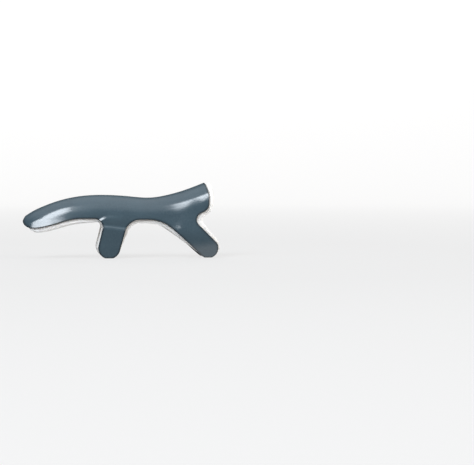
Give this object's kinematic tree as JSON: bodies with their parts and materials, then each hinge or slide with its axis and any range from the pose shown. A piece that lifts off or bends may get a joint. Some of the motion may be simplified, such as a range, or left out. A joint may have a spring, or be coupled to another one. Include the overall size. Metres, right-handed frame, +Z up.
{
  "type": "spoon finger splint",
  "caption": "Formed metal trough with a drooping spoon end, side tabs, flared collar and slanted straps, foam lined, that holds a finger straight.",
  "frame": {"origin": "on the surface that the splint stands on, under the middle of its length and width", "axes": "+X along the finger from the fingertip end to the knuckle end, +Z up towards the back of the trough, Y across between the tabs"},
  "size_m": [0.091, 0.026, 0.0354],
  "materials": {
    "coated_aluminium": "smooth glossy grey-blue coat on formed aluminium sheet",
    "white_foam": "soft matt white fine-celled foam sheet"
  },
  "bodies": {
    "root": {"shell": "coated_aluminium", "foam_pad": "white_foam"}
  },
  "joints": []
}
